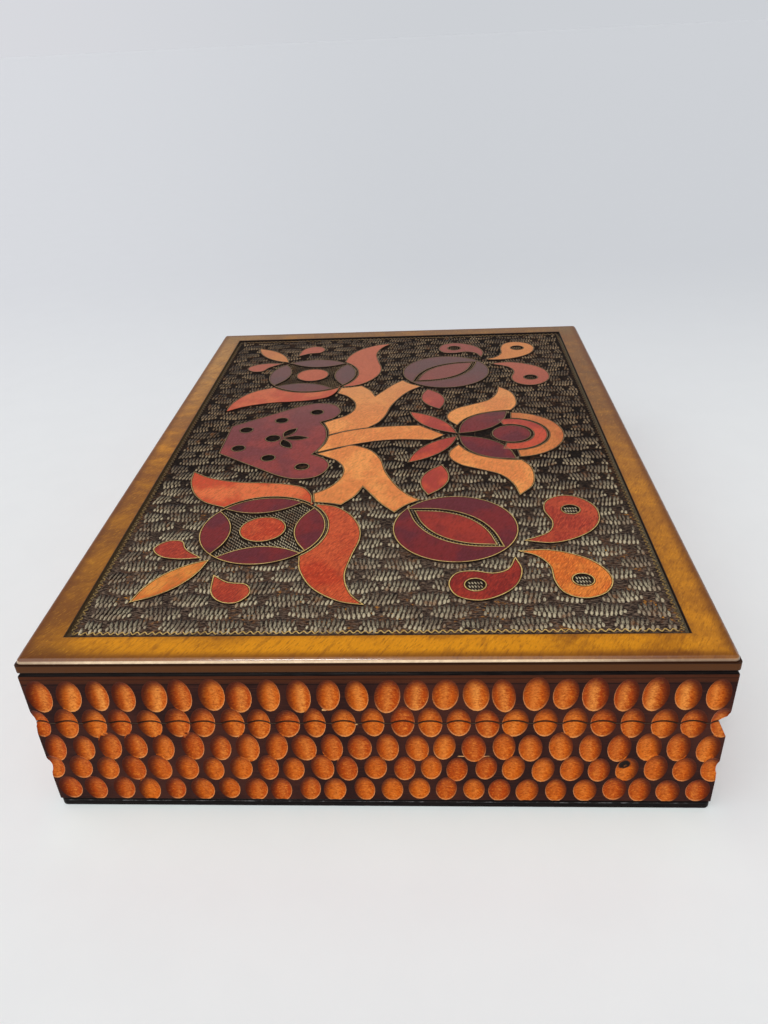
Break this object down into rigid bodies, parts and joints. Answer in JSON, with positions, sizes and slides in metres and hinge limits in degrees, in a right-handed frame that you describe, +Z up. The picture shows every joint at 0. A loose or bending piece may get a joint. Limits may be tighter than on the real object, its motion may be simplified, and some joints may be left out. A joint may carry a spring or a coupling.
{
  "type": "carved trinket box",
  "caption": "Shallow rectangular wooden box with gouged sides and a hinged lid board that carries a recessed, carved folk panel; it holds small things.",
  "frame": {"origin": "middle of the underside of the box", "axes": "+X along the length to the right seen from the front, +Y to the hinged back, +Z up; the front is at -Y"},
  "size_m": [0.288, 0.204, 0.06],
  "materials": {
    "amber_wood": "amber stain under satin varnish",
    "carved_wood": "dark stained face, gouged through to orange wood, varnished",
    "black_lacquer": "gloss black lacquer on wood",
    "hinge_brass": "satin brass",
    "pin_steel": "plain steel"
  },
  "bodies": {
    "base": {"base_board": "black_lacquer", "base_front_wall": "carved_wood", "base_back_wall": "carved_wood", "base_left_wall": "carved_wood", "base_right_wall": "carved_wood", "hinge_left_base_leaf": "hinge_brass", "hinge_left_base_screw_1": "hinge_brass", "hinge_left_base_screw_2": "hinge_brass", "hinge_left_pin": "pin_steel", "hinge_right_base_leaf": "hinge_brass", "hinge_right_base_screw_1": "hinge_brass", "hinge_right_base_screw_2": "hinge_brass", "hinge_right_pin": "pin_steel"},
    "lid": {"lid_board": "amber_wood", "lid_front_wall": "carved_wood", "lid_back_wall": "carved_wood", "lid_left_wall": "carved_wood", "lid_right_wall": "carved_wood", "hinge_left_lid_leaf": "hinge_brass", "hinge_left_lid_screw_1": "hinge_brass", "hinge_left_lid_screw_2": "hinge_brass", "hinge_right_lid_leaf": "hinge_brass", "hinge_right_lid_screw_1": "hinge_brass", "hinge_right_lid_screw_2": "hinge_brass"}
  },
  "joints": [
    {"name": "lid_hinge", "type": "hinge", "parent": "base", "child": "lid", "pos_m": [0, 0.0994, 0.0358], "axis": [-1, 0, 0], "range_deg": [0, 104]}
  ]
}
